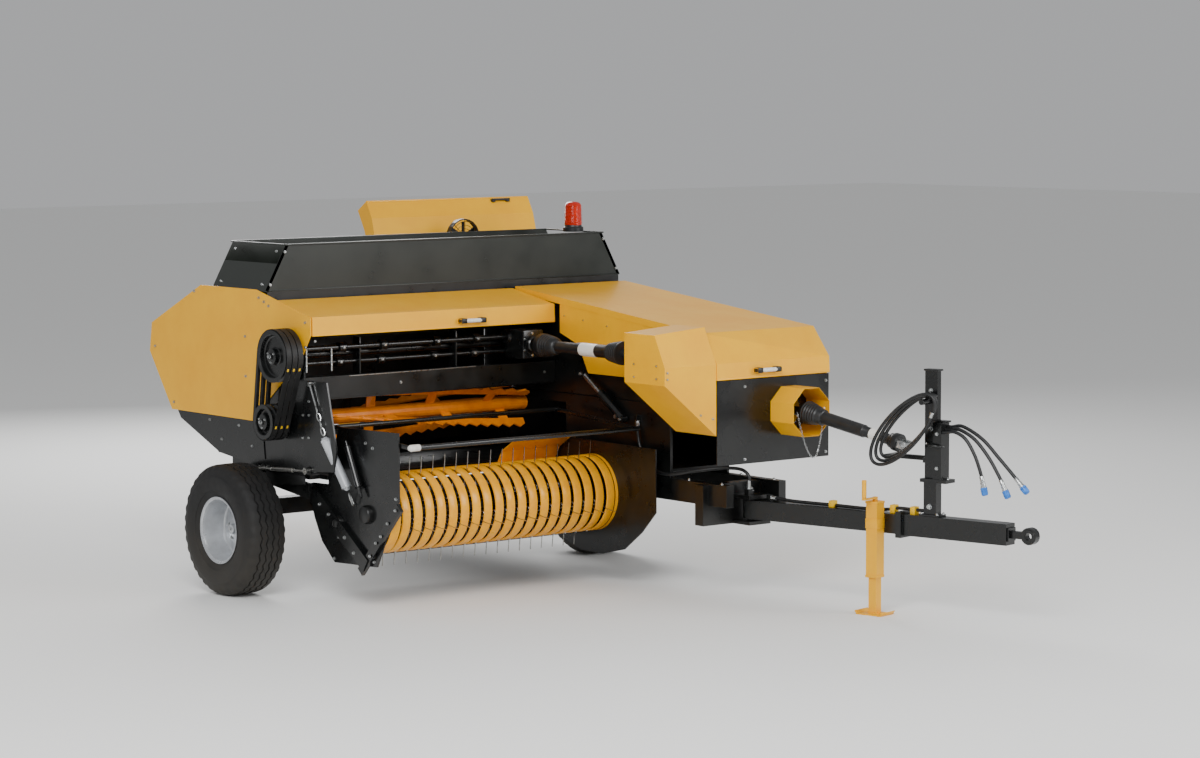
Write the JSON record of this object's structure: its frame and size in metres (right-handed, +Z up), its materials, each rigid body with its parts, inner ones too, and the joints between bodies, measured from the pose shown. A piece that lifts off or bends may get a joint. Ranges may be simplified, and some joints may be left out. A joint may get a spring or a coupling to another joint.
{
  "type": "square baler",
  "caption": "Towed small square baler with a tine pickup, cross feeder, bale chamber, flywheel hood, belt drive, swinging drawbar, parking jack and two wheels.",
  "frame": {"origin": "on the ground, at the middle of the machine's length and width", "axes": "+Z up, -Y the direction of travel towards the tractor, +X towards the bale chamber, the machine's left side"},
  "size_m": [3.24, 6.58, 2.46],
  "materials": {
    "beacon_orange": "gloss",
    "black_paint": "semi-gloss",
    "black_plastic": "satin",
    "blue_plastic": "satin",
    "hose_rubber": "satin",
    "orange_paint": "gloss",
    "silver_paint": "satin",
    "tyre_rubber": "matt",
    "yellow_paint": "gloss",
    "zinc_steel": "satin"
  },
  "bodies": {
    "chassis": {"axle_beam": "black_paint", "chassis_frame": "black_paint", "chamber_floor": "black_paint", "chamber_outer_wall": "black_paint", "chamber_inner_wall": "black_paint", "chamber_roof": "black_paint", "density_screws": "zinc_steel", "knotter_stack": "zinc_steel", "fan_bracket": "black_paint", "main_gearbox": "black_paint", "hood_side_left": "yellow_paint", "hood_side_right": "yellow_paint", "front_plate": "black_paint", "pto_guard": "yellow_paint", "side_cover": "yellow_paint", "end_shield": "yellow_paint", "housing_end_wall": "black_paint", "feeder_floor": "black_paint", "feeder_beam": "black_paint", "housing_deck": "black_paint", "twine_box": "black_paint", "beacon": "beacon_orange", "drive_belt": "hose_rubber", "lift_cylinder": "black_paint", "angle_gearbox": "black_paint", "feeder_drive_shaft": "black_plastic", "lift_hose": "hose_rubber"},
    "right_wheel": {"right_tyre": "tyre_rubber", "right_rim": "silver_paint"},
    "left_wheel": {"left_tyre": "tyre_rubber", "left_rim": "silver_paint"},
    "bale_chute": {"bale_chute": "yellow_paint"},
    "knotter_cover": {"knotter_cover": "yellow_paint"},
    "knotter_fan": {"fan_rotor": "black_plastic"},
    "flywheel": {"flywheel": "black_paint"},
    "pto_shaft": {"pto_shaft": "black_plastic"},
    "flywheel_hood": {"flywheel_hood": "yellow_paint"},
    "feeder_hood": {"feeder_hood": "yellow_paint"},
    "upper_pulley": {"upper_pulley": "black_paint"},
    "feeder_rotor": {"lower_pulley": "black_paint", "feeder_rotor": "orange_paint"},
    "pickup": {"pickup_left_plate": "black_paint", "pickup_right_plate": "black_paint", "strippers": "yellow_paint"},
    "tine_reel": {"tine_reel": "zinc_steel"},
    "wind_guard": {"wind_guard": "black_paint"},
    "drawbar": {"drawbar_beam": "black_paint", "hitch_eye": "black_paint", "jack_tube": "yellow_paint", "hose_stand": "black_paint", "drawbar_hose": "hose_rubber", "hose_coil": "hose_rubber", "tail_hose_1": "hose_rubber", "tail_hose_2": "hose_rubber", "tail_hose_3": "hose_rubber", "coupler_1": "blue_plastic", "coupler_2": "blue_plastic", "coupler_3": "blue_plastic"},
    "jack_leg": {"jack_leg": "yellow_paint"}
  },
  "joints": [
    {"name": "right_wheel_spin", "type": "hinge", "parent": "chassis", "child": "right_wheel", "pos_m": [-1.475, 1, 0.4225], "axis": [1, 0, 0], "continuous": true},
    {"name": "left_wheel_spin", "type": "hinge", "parent": "chassis", "child": "left_wheel", "pos_m": [1.475, 1, 0.4225], "axis": [1, 0, 0], "continuous": true},
    {"name": "chute_hinge", "type": "hinge", "parent": "chassis", "child": "bale_chute", "pos_m": [0.96, 2.78, 0.786], "axis": [1, 0, 0], "range_deg": [-25, 85]},
    {"name": "knotter_cover_hinge", "type": "hinge", "parent": "chassis", "child": "knotter_cover", "pos_m": [0.9, 1.78, 1.85], "axis": [1, 0, 0], "range_deg": [-75, 0]},
    {"name": "fan_spin", "type": "hinge", "parent": "chassis", "child": "knotter_fan", "pos_m": [0.8, 1.6, 2.2], "axis": [0, 1, 0], "continuous": true},
    {"name": "flywheel_spin", "type": "hinge", "parent": "chassis", "child": "flywheel", "pos_m": [1.23, -1.04, 1.19], "axis": [0, 1, 0], "continuous": true},
    {"name": "pto_shaft_yaw", "type": "hinge", "parent": "chassis", "child": "pto_shaft", "pos_m": [1.23, -1.46, 1.19], "axis": [0, 0, 1], "range_deg": [-33, 0]},
    {"name": "flywheel_hood_hinge", "type": "hinge", "parent": "chassis", "child": "flywheel_hood", "pos_m": [1.105, 0.8, 1.885], "axis": [1, 0, 0], "range_deg": [-60, 0]},
    {"name": "feeder_hood_hinge", "type": "hinge", "parent": "chassis", "child": "feeder_hood", "pos_m": [-0.345, 0.8, 1.885], "axis": [1, 0, 0], "range_deg": [-70, 0]},
    {"name": "upper_pulley_spin", "type": "hinge", "parent": "chassis", "child": "upper_pulley", "pos_m": [-1.4, 0.55, 1.56], "axis": [1, 0, 0], "continuous": true},
    {"name": "feeder_rotor_spin", "type": "hinge", "parent": "chassis", "child": "feeder_rotor", "pos_m": [-1.2, 0.66, 1.137], "axis": [1, 0, 0], "continuous": true},
    {"name": "pickup_lift", "type": "hinge", "parent": "chassis", "child": "pickup", "pos_m": [-0.285, 0.5, 0.7], "axis": [1, 0, 0], "range_deg": [-15, 3]},
    {"name": "tine_reel_spin", "type": "hinge", "parent": "pickup", "child": "tine_reel", "pos_m": [-0.285, -0.09, 0.6], "axis": [1, 0, 0], "continuous": true},
    {"name": "wind_guard_hinge", "type": "hinge", "parent": "pickup", "child": "wind_guard", "pos_m": [-0.285, 0.29, 1.115], "axis": [1, 0, 0], "range_deg": [-14, 0]},
    {"name": "drawbar_swing", "type": "hinge", "parent": "chassis", "child": "drawbar", "pos_m": [1, -1.2, 0.565], "axis": [0, 0, 1], "range_deg": [-28, 0]},
    {"name": "jack_slide", "type": "slide", "parent": "drawbar", "child": "jack_leg", "axis": [0, 0, 1], "range_m": [0, 0.21]}
  ],
  "couplings": [
    {"joint": "upper_pulley_spin", "follows": "feeder_rotor_spin", "ratio": 0.6875},
    {"joint": "pto_shaft_yaw", "follows": "drawbar_swing", "ratio": 1.17}
  ]
}
